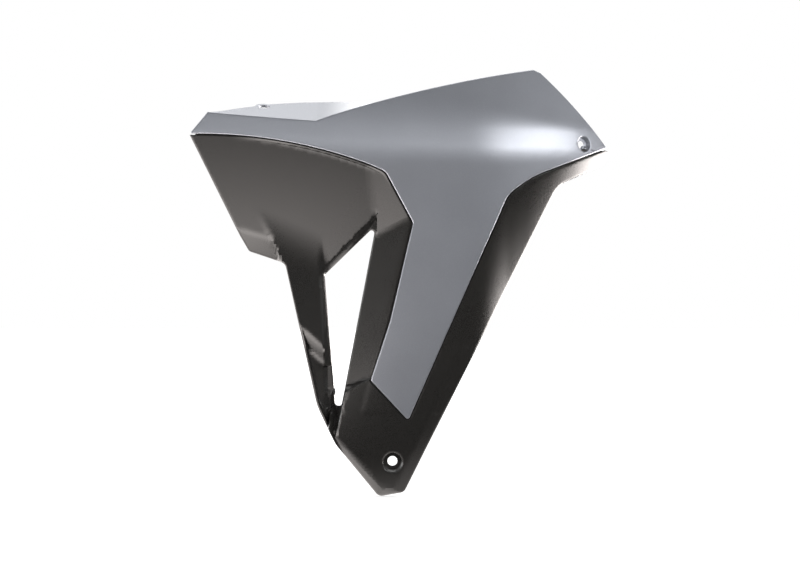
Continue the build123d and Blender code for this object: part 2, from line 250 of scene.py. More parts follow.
def arc(start, through, end, count=40):
    """Points on the circle through three points."""
    (ax, ay), (bx, by), (cx, cy) = start, through, end
    twice = 2 * (ax * (by - cy) + bx * (cy - ay) + cx * (ay - by))
    a2, b2, c2 = ax * ax + ay * ay, bx * bx + by * by, cx * cx + cy * cy
    ux = (a2 * (by - cy) + b2 * (cy - ay) + c2 * (ay - by)) / twice
    uy = (a2 * (cx - bx) + b2 * (ax - cx) + c2 * (bx - ax)) / twice
    first, last = atan2(ay - uy, ax - ux), atan2(cy - uy, cx - ux)
    while last - first > pi:
        last -= 2 * pi
    while last - first < -pi:
        last += 2 * pi
    radius = sqrt((ax - ux) ** 2 + (ay - uy) ** 2)
    turns = [first + (last - first) * step / count for step in range(count + 1)]
    return [(ux + radius * cos(turn), uy + radius * sin(turn)) for turn in turns]


def straight(start, end, spacing=3.0):
    """Evenly spaced points from start up to, and without, end."""
    length = sqrt((end[0] - start[0]) ** 2 + (end[1] - start[1]) ** 2)
    count = max(1, round(length / spacing))
    return [tuple(a + (b - a) * step / count for a, b in zip(start, end)) for step in range(count)]


def rounded(points, radii, closed=False):
    """A run of straight lines whose corners are rounded, with points along every line."""
    corners = []
    total = len(points)
    for place, radius in enumerate(radii):
        index = place if closed else place + 1
        before, corner, after = (Vector(points[(index + shift) % total]) for shift in (-1, 0, 1))
        inward, outward = (corner - before).normalized(), (after - corner).normalized()
        turn = inward.angle_signed(outward)
        reach = abs(radius * tan(turn / 2))
        count = max(2, round(abs(turn) / radians(9)))
        bend = []
        for step in range(count + 1):
            part = turn * step / count
            along, across = radius * sin(abs(part)), radius * (1 - cos(part))
            side_way = Vector((-inward.y, inward.x)) * (-1 if turn > 0 else 1)
            bend.append(tuple(corner - inward * reach + inward * along + side_way * across))
        corners.append(bend)
    path = [] if closed else straight(points[0], corners[0][0])
    for place, bend in enumerate(corners):
        path += bend[:-1]
        following = points[-1]
        if closed or place + 1 < len(corners):
            following = corners[(place + 1) % len(corners)][0]
        path += straight(bend[-1], following)
    return path if closed else path + [points[-1]]


# %% [markdown]
# Each outline runs round its piece as corner points with a radius at each corner. The long curves
# of the nose, the wing and the top edge are arcs through three points.

# %% The outlines
lower_edge = arc((-210.3, 344.4), (-107.4, 335.5), (-23.4, 311.9))
leg_and_rear = [(-23.4, 311.9), (-7.0, 304.6), (21.9, 251.0), (-2.5, 147.0), (-22.8, 85.2)]
leg_and_rear += [(16.8, 42.6), (104.0, 241.0), (121.5, 281.0), (146.0, 299.5), (227.5, 330.8)]
cover_edge = lower_edge[:-1] + rounded(leg_and_rear, (14, 7, 60, 3, 2.5, 60, 30, 90))
wing_edge = arc((227.5, 330.8), (190.0, 376.3), (156.6, 410.0))
wing_top = arc((149.0, 413.3), (39.6, 392.2), (-65.4, 363.3), 70)
vent_corners = [(-17.3, 249.0), (-71.0, 197.0), (-60.2, 58.5), (-53.8, 58.5)]
vent_edge = rounded(vent_corners, (3, 3, 3, 3), closed=True)
dark_corners = [(-212.4, 343.3), (-160.5, 237.5), (-151.5, 221.5), (-113.0, 208.5), (-79.5, 58.0)]
dark_corners += [(-60.0, 17.0), (-14.5, -38.8), (12.5, -33.5), (175.0, 291.0), (222.5, 312.5)]
dark_corners += [(230.0, 325.5), (227.6, 327.9)]
dark_edge = rounded(dark_corners, (6, 5, 8, 60, 40, 8, 8, 28, 8, 2.5))
print("points:", len(cover_edge), "on the cover's edge,", len(dark_edge), "on the dark edge")

# %% [markdown]
# ## The outer skin
#
# In every vertical section the skin is three straight bands: the leg leans out, the flank leans
# in, and the wing leans in more. Arcs join them, wide over the nose and tight at the rear. Seen
# from above the skin is a slow bow that sweeps inboard at the rear. Each part of the formula is
# one short function that takes whole arrays, so lifting a sheet is a single call.

# %% The skin's formula
import numpy as np

bolt_setback, inlay_step, wall = 8.5, 1.2, 2.5
ridge_height, fold_height_at_origin, fold_drop = 324.0, 374.0, 0.12
leg_pitch, flank_pitch, wing_pitch = -9.3, 10.0, 27.0
bow_slope, bow_radius, sweep_start, sweep_radius = 0.03, 2200.0, 77.0, 235.0
ridge_share, fold_share_front, fold_share_rear = 0.36, 0.55, 0.25
fold_tight_from, fold_change = 170.0, 120.0
band_slopes = [tan(radians(pitch)) for pitch in (leg_pitch, flank_pitch, wing_pitch)]


def plan_sine(x):
    """Sine of the skin's turn at x, seen from above."""
    bow = bow_slope + np.minimum(x, sweep_start) / bow_radius
    return bow + np.maximum(0.0, x - sweep_start) / sweep_radius


def plan_cosine(x):
    return np.sqrt(1 - plan_sine(x) ** 2)


def plan_depth(x):
    """How far inboard the skin lies at x, against its depth over the origin."""
    bow = bow_radius * (plan_cosine(0.0) - plan_cosine(np.minimum(x, sweep_start)))
    sweep = sweep_radius * (plan_cosine(sweep_start) - plan_cosine(np.maximum(x, sweep_start)))
    return bow + sweep


def fold_height(x):
    return fold_height_at_origin - fold_drop * x


def bands(x):
    """The three bands at x, each as the depth where its line meets z = 0."""
    ridge_depth = -(bolt_setback + inlay_step) + band_slopes[0] * ridge_height + plan_depth(x)
    leg = ridge_depth - band_slopes[0] * ridge_height
    flank = ridge_depth - band_slopes[1] * ridge_height
    wing = flank + (band_slopes[1] - band_slopes[2]) * fold_height(x)
    return leg, flank, wing


def blended(z, line, first, second, radius):
    """Follow an arc of the radius where two lines, each (offset, slope), meet."""
    (offset_1, slope_1), (offset_2, slope_2) = first, second
    long_1, long_2 = sqrt(1 + slope_1**2), sqrt(1 + slope_2**2)
    centre_z = (offset_1 - offset_2 + radius * (long_1 - long_2)) / (slope_2 - slope_1)
    centre_y = offset_1 + slope_1 * centre_z + radius * long_1
    start, end = centre_z + radius * slope_1 / long_1, centre_z + radius * slope_2 / long_2
    on_arc = (z > start) & (z < end)
    dip = np.sqrt(np.maximum(radius**2 - (z - centre_z) ** 2, 0.0))
    return np.where(on_arc, centre_y - dip, line)


def skin(x, z):
    """Depth of the cover's outer face."""
    leg, flank, wing = bands(x)
    lines = [(offset, slope) for offset, slope in zip((leg, flank, wing), band_slopes)]
    depth = np.maximum.reduce([offset + slope * z for offset, slope in lines])
    span = fold_height(x) - ridge_height
    ridge_radius = ridge_share * span / tan(radians((flank_pitch - leg_pitch) / 2))
    softness = np.clip((fold_tight_from - x) / fold_change, 0.0, 1.0)
    share = fold_share_rear + (fold_share_front - fold_share_rear) * softness
    fold_radius = share * span / tan(radians((wing_pitch - flank_pitch) / 2))
    depth = blended(z, depth, lines[0], lines[1], ridge_radius)
    return blended(z, depth, lines[1], lines[2], fold_radius)


# %% [markdown]
# ## Facets of the dark moulding
#
# The dark moulding is faceted. A facet is a plane, kept as its depth at the origin and its two
# slopes. One facet is turned back from another along the line where they meet, and a smooth
# minimum or maximum joins them with a rounded crease whose width is chosen for each.

# %% Facets and their rounded creases


def facet_through(points):
    """The plane through three points."""
    matrix = np.array([(1.0, x, z) for x, _, z in points])
    return tuple(np.linalg.solve(matrix, np.array([y for _, y, _ in points])))


def turned_back(facet, start, end, fall):
    """To the left of the line from start to end the facet drops inboard by fall a millimetre."""
    depth, slope_x, slope_z = facet
    (x1, z1), (x2, z2) = start, end
    length = sqrt((x2 - x1) ** 2 + (z2 - z1) ** 2)
    along_x, along_z = (x2 - x1) / length, (z2 - z1) / length
    shifted = depth + fall * (along_z * x1 - along_x * z1)
    return (shifted, slope_x - fall * along_z, slope_z + fall * along_x)


def plane(facet, x, z):
    return facet[0] + facet[1] * x + facet[2] * z


def outer_join(first, second, width):
    """The more outboard of two depths, with a rounded join."""
    near = np.maximum(width - np.abs(first - second), 0.0) / width
    return np.minimum(first, second) - near**2 * width / 4


def inner_join(first, second, width):
    """The more inboard of two depths, with a rounded join."""
    return -outer_join(-first, -second, width)


def leg_point(x, z):
    return (x, float(skin(np.array(float(x)), np.array(float(z)))) + inlay_step, z)


# %% [markdown]
# Four facets go through three chosen points each. The others are bevels: each is one of those
# four, turned back along a line, and the lines are kept because the sheet is cut along them.

# %% The facets themselves
leg_facet = facet_through([leg_point(-20, 0), leg_point(60, 20), leg_point(20, 200)])
front_facet = facet_through([(-212, -51.9, 343), (-20, -57.0, 310), (-127.4, -24.2, 234.2)])
shoulder_facet = facet_through([(-17.3, -37.8, 249), (19.6, -49.0, 254), (-23, -57.5, 311)])
pillar_facet = facet_through([(-127.4, -24.2, 234.2), (-70.7, -21.1, 203.7), (-75, -16.9, 60)])
chin_corner, chin_left, chin_foot = (-127.4, 234.2), (-162.0, 244.7), (-113.0, 203.0)
chin_inner_foot = (-119.5, 205.0)
vent_bevel_line = ((-15.0, 261.4), (-70.7, 203.7))
pillar_side_line = ((-76.0, 203.7), (-68.0, 6.0))
vent_side_line = ((-21.3, 88.2), (19.6, 254.1))
rear_bevel_line = ((75.3, 126.0), (3.9, -29.4))
foot_lines = [((-48.6, 73.5), (-22.4, 88.2)), ((-57.0, 33.0), (-48.6, 73.5))]
foot_lines += [((-12.9, -27.3), (-54.9, 22.1)), ((3.9, -31.0), (-12.9, -28.5))]
foot_falls = (2.2, 2.2, 1.7, 1.7)
chin_facet = turned_back(front_facet, chin_corner, chin_left, 0.6)
vent_bevel_facet = turned_back(front_facet, *vent_bevel_line, 1.4)
pillar_side_facet = turned_back(pillar_facet, *pillar_side_line, 0.9)
vent_side_facet = turned_back(leg_facet, *vent_side_line, 0.466)
rear_bevel_facet = turned_back(leg_facet, *rear_bevel_line, 0.36)
foot_facets = [turned_back(leg_facet, *line, fall) for line, fall in zip(foot_lines, foot_falls)]
strip_crease = [(77, 139), (88, 186), (100, 222), (113, 257), (130, 280)]
strip_crease += [(155, 298), (180, 310), (210, 321), (240, 332)]
strip_slopes = (-0.22, -0.26, -0.31, -0.38, -0.46, -0.57, -0.70, -0.85, -1.0)
print("leg facet:", [round(value, 4) for value in leg_facet])

# %% [markdown]
# The sunken panel below the pillar starts with a soft roll along a slanting line, and its other
# sides are short steep steps. A factor from 0 to 1 says how deep each point has sunk.

# %% The sunken pocket
pocket_right, pocket_top = -55.0, 150.0
pocket_depth, pocket_rim, step_width, roll_width = 11.0, 2.2, 1.4, 16.0
roll_start, roll_way = (-84.3, 133.5), (-0.69, -0.724)
strut_left, strut_end = -72.8, 100.8
lip_top, lip_low = (-61.2, 79.8), (-66.5, 40.0)
rim_sink = 0.6


def pocket_factor(x, z, edge_distance):
    past_start = (x - roll_start[0]) * roll_way[0] + (z - roll_start[1]) * roll_way[1]
    rolled = np.clip(past_start / roll_width, 0, 1)
    rolled = rolled**2 * (3 - 2 * rolled)
    cut_off = np.clip((strut_end - z) / step_width, 0, 1)
    beside = np.clip((x - strut_left) / step_width, 0, 1)
    sunk = rolled * (1 - beside) + cut_off * beside
    lip_x = lip_low[0] + (lip_top[0] - lip_low[0]) * (z - lip_low[1]) / (lip_top[1] - lip_low[1])
    from_lip = np.where(z < lip_top[1], np.clip((lip_x - x) / step_width, 0, 1), 1.0)
    clear_of_rim = np.clip((edge_distance - pocket_rim) / step_width, 0, 1)
    from_edge = rim_sink + (1 - rim_sink) * clear_of_rim
    return np.where((x < pocket_right) & (z < pocket_top), sunk * from_lip * from_edge, 0.0)


# %% [markdown]
# The chin is the small facet at the front's lower corner. A minimum or maximum with the pillar
# would hide it, so it gets a share instead: a fan between two lines from its corner runs from 0 on
# the pillar's side to 1 on the chin.


# %% The chin's share
def left_of(start, end, x, z):
    """Distance to the left of the line from start to end."""
    (x1, z1), (x2, z2) = start, end
    return ((x2 - x1) * (z - z1) - (z2 - z1) * (x - x1)) / sqrt((x2 - x1) ** 2 + (z2 - z1) ** 2)


def chin_share(x, z):
    """How far a point has passed from the pillar's face, 0, to the chin's, 1."""
    first = left_of(chin_foot, chin_corner, x, z)
    last = left_of(chin_inner_foot, chin_corner, x, z)
    share = np.clip(first / np.maximum(first - last, 0.3), 0, 1)
    return np.where((z > chin_foot[1]) & (x < -100), share, 0.0)


# %% [markdown]
# The face is put together from four parts. Each part reaches only as far as it is meant to: past
# that it is moved far inboard, where an outer join passes it over. The rear strip hangs from a
# curved crease, and averages over 20 mm keep that crease free of corners.

# %% The parts of the dark face
far_inboard = 200.0
strip_fade, crease_blur = 0.35, 10.0
shoulder_left, shoulder_right, shoulder_low, shoulder_high = -16.0, 30.0, 235.0, 262.0
ramp_width, ramp_drop = 2.0, 30.0


def shoulder_part(x, z):
    """The shoulder above the vent's corner. Beside the vent it drops, to let the bevel show."""
    drop = np.clip((shoulder_left - x) / ramp_width, 0, 1) * ramp_drop
    face = plane(shoulder_facet, x, z) + np.where(z < shoulder_high, drop, 0.0)
    return np.where((z > shoulder_low) & (x < shoulder_right), face, far_inboard)


def pillar_part(x, z, edge_distance):
    face = inner_join(plane(pillar_facet, x, z), plane(pillar_side_facet, x, z), 1.0)
    face = face + pocket_depth * pocket_factor(x, z, edge_distance)
    return np.where(x < -45, face, far_inboard)


def strip_part(x, z):
    crease_x, crease_z = zip(*strip_crease)
    shifts = np.linspace(-crease_blur, crease_blur, 9)
    strip_z = sum(np.interp(x + shift, crease_x, crease_z) for shift in shifts) / len(shifts)
    strip_slope = sum(np.interp(x + shift, crease_x, strip_slopes) for shift in shifts) / len(shifts)
    face = skin(x, strip_z) + inlay_step + strip_slope * (z - strip_z)
    return face - strip_fade * np.maximum(strip_crease[0][0] - x, 0.0)


def rear_part(x, z):
    """The frame of the cover's leg, the rear strip and the foot."""
    body = inner_join(skin(x, z) + inlay_step, strip_part(x, z), 0.7)
    body = inner_join(body, plane(rear_bevel_facet, x, z), 0.6)
    upper = inner_join(body, plane(vent_side_facet, x, z), 0.6)
    foot = body
    for facet in foot_facets:
        foot = inner_join(foot, plane(facet, x, z), 2.0)
    upper = np.where((x > -70) & (z > 50), upper, far_inboard)
    foot = np.where((x > -70) & (z < 120), foot, far_inboard)
    return outer_join(upper, foot, 1.0)


# %% The dark face's depth
def dark_face(x, z, edge_distance):
    """Depth of the dark moulding's outer face."""
    front = plane(front_facet, x, z)
    chin = inner_join(front, plane(chin_facet, x, z), 1.2)
    front = inner_join(front, plane(vent_bevel_facet, x, z), 1.6)
    face = outer_join(front, pillar_part(x, z, edge_distance), 8.0)
    share = chin_share(x, z)
    face = (1 - share) * face + share * chin
    face = outer_join(face, shoulder_part(x, z), 1.0)
    return outer_join(face, rear_part(x, z), 1.5)


spots = np.array([(-150.0, 300.0), (-90.0, 170.0), (40.0, 120.0)])
print("dark face at three spots:", dark_face(spots[:, 0], spots[:, 1], 9.0).round(2))


# %% [markdown]
# ## From a flat sheet to a wall
#
# These helpers are the bench tools. A sheet is filled between its edge and its holes, gets narrow
# rings beside every edge, which later carry the rounded rim, and is cut into a fine grid. Extra
# cuts along the creases keep each facet's border straight. Subdividing a few large faces instead
# would leave steps wherever a crease runs across the grid.

# %% Fill, ring and cut a flat sheet


def only(piece):
    """Make one object the selected and active one."""
    bpy.ops.object.select_all(action="DESELECT")
    piece.select_set(True)
    bpy.context.view_layer.objects.active = piece


def flat_sheet(name, loops, rings, spacing, cuts=()):
    """A sheet in the XZ plane, filled between loops, with rings beside its edges and a grid.

    Each ring is its distance from the edge. Each cut is a line through a point, with its normal.
    """
    mesh = bpy.data.meshes.new(name)
    piece = bpy.data.objects.new(name, mesh)
    bpy.context.scene.collection.objects.link(piece)
    points, edges = [], []
    for loop in loops:
        first = len(points)
        points += [(x * mm, 0.0, z * mm) for x, z in loop]
        edges += [(first + i, first + (i + 1) % len(loop)) for i in range(len(loop))]
    mesh.from_pydata(points, edges, [])
    only(piece)
    bpy.ops.object.mode_set(mode="EDIT")
    bpy.ops.mesh.select_all(action="SELECT")
    bpy.ops.mesh.fill(use_beauty=True)
    inset = {"depth": 0.0, "use_boundary": True, "use_even_offset": True}
    for near, far in zip((0.0, *rings), rings):
        bpy.ops.mesh.inset(thickness=(far - near) * mm, **inset)
    (low_x, high_x), (low_z, high_z) = ((min(values), max(values)) for values in zip(*loops[0]))
    across = range(1, int((high_x - low_x) / spacing) + 1)
    upward = range(1, int((high_z - low_z) / spacing) + 1)
    lines = [((low_x + step * spacing, 0), (1, 0)) for step in across]
    lines += [((0, low_z + step * spacing), (0, 1)) for step in upward]
    for (x, z), (normal_x, normal_z) in (*cuts, *lines):
        bpy.ops.mesh.select_all(action="SELECT")
        where, normal = (x * mm, 0.0, z * mm), (normal_x, 0.0, normal_z)
        bpy.ops.mesh.bisect(plane_co=where, plane_no=normal, threshold=0.0002)
    bpy.ops.mesh.select_all(action="SELECT")
    bpy.ops.object.mode_set(mode="OBJECT")
    if mesh.polygons[0].normal.y > 0:
        mesh.flip_normals()
    print(name, "sheet:", len(mesh.vertices), "vertices")
    return piece


# %% [markdown]
# Lifting is the step that gives the form: the mesh is handed to numpy as arrays, each vertex gets
# its depth from the piece's own formula, and beside an edge the face rolls over in a quarter
# circle, whose steps are the rings that were cut before.


# %% Lift a sheet to its depth
def distance_to(loop, x, z, closed=True):
    """Distance of every point to a loop or an open path, in side view."""
    best = np.full(x.shape, 1e9)
    for (ax, az), (bx, bz) in zip(loop, loop[1:] + (loop[:1] if closed else [])):
        length = (bx - ax) ** 2 + (bz - az) ** 2 + 1e-12
        part = np.clip(((x - ax) * (bx - ax) + (z - az) * (bz - az)) / length, 0, 1)
        best = np.minimum(best, np.hypot(x - ax - part * (bx - ax), z - az - part * (bz - az)))
    return best


def ring_steps(rim):
    """Distances at which rings turn a rounded rim through 30 degrees each."""
    return [rim * (1 - cos(radians(turn))) for turn in (30, 60, 90)]


def lift(piece, loops, rim, depth, fine_edge=None, fine_rim=0.6):
    """Move every vertex to its depth, and round the face over beside its edges.

    Beside the open path fine_edge the rim is finer.
    """
    places = np.empty(len(piece.data.vertices) * 3)
    piece.data.vertices.foreach_get("co", places)
    places = places.reshape(-1, 3) / mm
    x, z = places[:, 0], places[:, 2]
    outer_distance = distance_to(loops[0], x, z)
    nearest = np.minimum.reduce([outer_distance] + [distance_to(loop, x, z) for loop in loops[1:]])
    radius = np.full(x.shape, rim)
    if fine_edge:
        radius = np.where(distance_to(fine_edge, x, z, closed=False) < rim, fine_rim, radius)
    inside = np.clip(radius - nearest, 0, radius)
    places[:, 1] = depth(x, z, outer_distance) + radius - np.sqrt(radius**2 - inside**2)
    piece.data.vertices.foreach_set("co", (places * mm).ravel())
    piece.data.update()


# %% [markdown]
# A moulding's edge turns inboard as a flange. Extruding the open edges makes it, and a function
# gives each new vertex its place, so the same helper also draws the cups round the bolt holes.


# %% Draw the open edges inboard
def draw_edge(piece, wanted, target):
    """Extrude the open edges that are wanted, each vertex to its target. Both work in mm."""
    only(piece)
    bpy.ops.object.mode_set(mode="EDIT")
    bpy.ops.mesh.select_mode(type="EDGE")
    bpy.ops.mesh.select_all(action="DESELECT")
    cut = bmesh.from_edit_mesh(piece.data)
    for edge in cut.edges:
        edge.select_set(edge.is_boundary and all(wanted(*(vertex.co / mm)) for vertex in edge.verts))
    bmesh.update_edit_mesh(piece.data)
    bpy.ops.mesh.extrude_edges_move()
    cut = bmesh.from_edit_mesh(piece.data)
    moved = [vertex for vertex in cut.verts if vertex.select]
    for vertex in moved:
        vertex.co = Vector(target(*(vertex.co / mm))) * mm
    bmesh.update_edit_mesh(piece.data)
    bpy.ops.object.mode_set(mode="OBJECT")
    print(piece.name, "edge drawn:", len(moved), "vertices")


# %% [markdown]
# Solidify gives the sheet its wall on the inner side only, so the outer face stays where the
# formula put it. Weighted normals then keep the large faces flat in the light beside their rims.


# %% Give a sheet its wall
def thicken(piece, thickness, smooth=38, farthest=1.6):
    """Give a sheet its wall behind its face, and smooth all but its sharp edges."""
    only(piece)
    solid = piece.modifiers.new("wall", "SOLIDIFY")
    solid.thickness, solid.offset = thickness * mm, -1
    solid.use_even_offset, solid.use_quality_normals = True, True
    outer = len(piece.data.vertices)
    bpy.ops.object.modifier_apply(modifier=solid.name)
    # At a sharp corner an even wall would shoot far out, so each inner vertex stays near its own
    for place in range(outer):
        first, second = piece.data.vertices[place], piece.data.vertices[place + outer]
        reach = second.co - first.co
        if reach.length > farthest * thickness * mm:
            second.co = first.co + reach.normalized() * farthest * thickness * mm
    bpy.ops.object.shade_smooth_by_angle(angle=radians(smooth))


def weigh_normals(piece):
    """Let large faces decide the shading beside their rims."""
    only(piece)
    weighted = piece.modifiers.new("weighted", "WEIGHTED_NORMAL")
    weighted.keep_sharp = True
    bpy.ops.object.modifier_apply(modifier=weighted.name)


# %% Rings about a slanted hole
def ring_axes(origin, normal, height):
    """A ring's centre and its two axes, the first of them level."""
    along = Vector(normal).normalized()
    level = (Vector((1, 0, 0)) - along * along.x).normalized()
    return Vector(origin) + along * height, level, along.cross(level)


def ring_place(origin, normal, radius, height):
    """A function that puts a point, by its angle round an axis, on a ring about that axis."""
    centre, level, upward = ring_axes(origin, normal, height)

    def target(x, y, z):
        out = Vector((x, y, z)) - centre
        turn = atan2(out.dot(upward), out.dot(level))
        return centre + level * radius * cos(turn) + upward * radius * sin(turn)

    return target


def ring_loop(origin, normal, radius, height, count=48):
    """The ring's outline in side view."""
    centre, level, upward = ring_axes(origin, normal, height)
    turns = [2 * pi * step / count for step in range(count)]
    points = [centre + level * radius * cos(turn) + upward * radius * sin(turn) for turn in turns]
    return [(point.x, point.z) for point in points]


# %% [markdown]
# ## The grey cover
#
# The cover's sheet runs from the nose to the rear point, with the leg inlaid in the dark
# moulding. Its wing and nose edges turn inboard as a flange, its top edge runs on as the plate
# behind the nose, and the rear bolt sits in a small cup.

# %% The top plate's plane
cover_rim = 1.3
crease_lift = 0.4
plate_pitch, plate_slope, plate_height = 18.0, -0.066, 352.3
plate_rise = tan(radians(plate_pitch))
plate_edge = [(-193.5, -52.5), (-181, -45.8), (-160, -29.5), (-128, -8), (-97, 5)]
plate_edge += [(-55, 17), (-23, 21.3), (25, -30), (40, -58)]
tab_place, tab_radius, top_hole_radius = (-135.0, -18.5), 10.0, 5.75
flank_at_origin = float(bands(np.array(0.0))[1]) + band_slopes[1] * plate_height


def plate_z(x, y):
    """Height of the top plate at x and y."""
    return plate_height + plate_slope * x + plate_rise * (y - flank_at_origin)


def top_crease(x):
    """Height at which the plate's plane meets the skin."""
    flank = float(bands(np.array(float(x)))[1])
    reach = plate_height + plate_slope * x + plate_rise * (flank - flank_at_origin)
    return reach / (1 - plate_rise * band_slopes[1])


crease_ends = [(x, top_crease(x) + crease_lift) for x in (-80.0, -135.0, -193.5)]
crease = arc(*crease_ends)
print("crease from", [round(value, 1) for value in crease[0]], "to the nose")

# %% The cover's outline and its rear bolt hole
nose_tip = (-211.0, 346.0)
rear_x, rear_z = 202.3, 334.6
cover_outline = cover_edge[:-1] + wing_edge[:-1] + straight(wing_edge[-1], wing_top[0])
cover_outline += wing_top[:-1] + straight(wing_top[-1], crease[0])
cover_outline += crease[:-1] + straight(crease[-1], nose_tip) + [nose_tip]
rear_sine = float(plan_sine(rear_x))
rear_normal = (rear_sine / sqrt(1 - rear_sine**2), -1.0, band_slopes[1])
rear_origin = (rear_x, float(skin(np.array(rear_x), np.array(rear_z))), rear_z)
rear_loop = ring_loop(rear_origin, rear_normal, 8.0, 0.0)


def in_rear_cup(x, y, z):
    return abs(x - rear_x) < 11 and abs(z - rear_z) < 11 and z < 346 - 0.3 * (x - rear_x)


# %% [markdown]
# One function says where each stretch of the cover's open edge goes. Along the top it becomes the
# plate, which reaches inboard to its own curved edge with a round tab for the top bolt, and
# behind the plate it settles into the wing's flange. The nose has a shorter flange, and all that
# borders the dark moulding has only a short lip.

# %% Where the cover's edge goes
wing_flange, nose_flange, lip = 12.0, 6.0, 1.6
plate_end, plate_fade = -23.0, 63.0


def plate_inner(x, y):
    """How far inboard the plate reaches at x, for an edge at depth y."""
    edge_x, edge_y = zip(*plate_edge)
    inner = float(np.interp(x, edge_x, edge_y))
    from_tab = abs(x - tab_place[0])
    if from_tab < tab_radius:
        inner = max(inner, tab_place[1] + sqrt(tab_radius**2 - from_tab**2))
    return max(inner, y + (wing_flange if x > -60 else 0.4))


def cover_flange(x, y, z):
    """Where a vertex of the cover's open edge goes."""
    if -194 < x < 150 and z > 350:
        inner = plate_inner(x, y)
        share = min(max((x - plate_end) / plate_fade, 0.0), 1.0)
        return (x, inner, (1 - share) * plate_z(x, inner) + share * z)
    rear_line = 0.384 * (x - 227.5) + 330.8
    if x > 150 and z > rear_line + 1.5:
        return (x, y + wing_flange, z)
    if x < -194 and z > 346.5:
        return (x, y + nose_flange, z)
    return (x, y + lip, z)


# %% Shape the cover
cover_loops = [cover_outline, rear_loop]
cover = flat_sheet("grey_cover", cover_loops, ring_steps(cover_rim), 4.0)
lift(cover, cover_loops, cover_rim, lambda x, z, edge: skin(x, z))
draw_edge(cover, lambda x, y, z: not in_rear_cup(x, y, z), cover_flange)
for radius, height in ((7.0, -5.0), (4.25, -5.0), (4.25, -6.0)):
    draw_edge(cover, in_rear_cup, ring_place(rear_origin, rear_normal, radius, height))
thicken(cover, wall)

# %% [markdown]
# The plate's hole is drilled last, with a cylinder set square to the plate, because a hole in the
# sheet would have to be placed through the fold.

# %% Drill the top plate
tab_z = plate_z(*tab_place)
bpy.ops.object.select_all(action="DESELECT")
bpy.ops.mesh.primitive_cylinder_add(vertices=48, radius=top_hole_radius * mm, depth=20 * mm)
drill = bpy.context.object
drill.location = (tab_place[0] * mm, tab_place[1] * mm, tab_z * mm)
drill.rotation_euler = Vector((-plate_slope, -plate_rise, 1.0)).to_track_quat("Z", "Y").to_euler()
only(cover)
bore = cover.modifiers.new("bore", "BOOLEAN")
bore.operation, bore.object = "DIFFERENCE", drill
bpy.ops.object.modifier_apply(modifier=bore.name)
bpy.data.objects.remove(drill)
weigh_normals(cover)
clothe(cover, "satin_grey")
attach(cover, "root")
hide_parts("outer_panel")
print("cover:", len(cover.data.polygons), "faces")

# %% [markdown]
# ## The dark moulding
#
# What shows of it runs from just below the cover's edge to its own silhouette, with the vent and
# the bolt cup as holes. Behind the cover it goes on as a plain land that the cover is screwed to.

# %% The dark moulding's edges
dark_rim = 1.7
shadow_gap = 1.2
ledge_width, ledge_height = 2.4, 1.9
cup_reach = 15.0
flange_depth, lip_depth, deepest = 13.0, 4.0, 29.0


def beside(path, gap):
    """An open path moved sideways, to the right of the way it runs."""
    moved = []
    for place, (x, z) in enumerate(path):
        before, after = path[max(place - 1, 0)], path[min(place + 1, len(path) - 1)]
        way = Vector((after[0] - before[0], after[1] - before[1])).normalized()
        moved.append((x + way.y * gap, z - way.x * gap))
    return moved


gap_edge = [point for point in beside(cover_edge, shadow_gap) if -207.5 < point[0] < 226]
foot_normal = (leg_facet[1], -1.0, leg_facet[2])
foot_height = -leg_facet[0] / sqrt(leg_facet[1] ** 2 + 1 + leg_facet[2] ** 2)
foot_loop = ring_loop((0, 0, 0), foot_normal, 10.4, foot_height)
dark_loops = [dark_edge + gap_edge[::-1], vent_edge, foot_loop]


def ledged_face(x, z, edge_distance):
    """The dark face with the small ledge that rises beside the cover's lower edge."""
    near = np.clip(1 - distance_to(gap_edge, x, z, closed=False) / ledge_width, 0, 1)
    along = np.clip((x + 170) / 70, 0, 1) * np.clip((0 - x) / 30, 0, 1) * (z > 280)
    return dark_face(x, z, edge_distance) - ledge_height * near * along


def at_foot_cup(x, y, z):
    return x * x + z * z < cup_reach**2


def dark_flange(x, y, z):
    """A short lip beside the cover and a full flange elsewhere, both inside the frame's box."""
    to_cover = float(distance_to(cover_edge, np.array([x]), np.array([z]))[0])
    depth = lip_depth if to_cover < shadow_gap + 1.0 else flange_depth
    return (x, min(y + depth, deepest), z)


print("edge beside the cover:", len(gap_edge), "points")

# %% [markdown]
# The sheet is cut along every line where the face bends sharply, so that vertices lie on both
# sides of each step and along each bevel.

# %% Lines to cut along
lip_normal = (lip_top[1] - lip_low[1], lip_low[0] - lip_top[0])
cuts = [(lip_top, lip_normal), ((lip_top[0] - step_width, lip_top[1]), lip_normal)]
cuts += [((strut_left + shift, 0), (1, 0)) for shift in (0.0, step_width)]
cuts += [((0, strut_end - shift), (0, 1)) for shift in (0.0, step_width)]
for (x1, z1), (x2, z2) in zip(dark_corners[3:5], dark_corners[4:6]):
    inward = Vector((z1 - z2, x2 - x1)).normalized()
    for shift in (pocket_rim, pocket_rim + step_width):
        cuts.append(((x1 + inward.x * shift, z1 + inward.y * shift), tuple(inward)))
creases = [vent_bevel_line, (chin_corner, chin_left), (chin_corner, chin_foot)]
creases += [(chin_corner, chin_inner_foot), pillar_side_line]
creases += [((x, 0.0), (x, 50.0)) for x in (shoulder_left, shoulder_left - ramp_width)]
creases += [foot_lines[2], foot_lines[3], foot_lines[1], foot_lines[0], vent_side_line]
for (x1, z1), (x2, z2) in creases:
    cuts.append(((x1, z1), (z1 - z2, x2 - x1)))
print("extra cuts:", len(cuts))

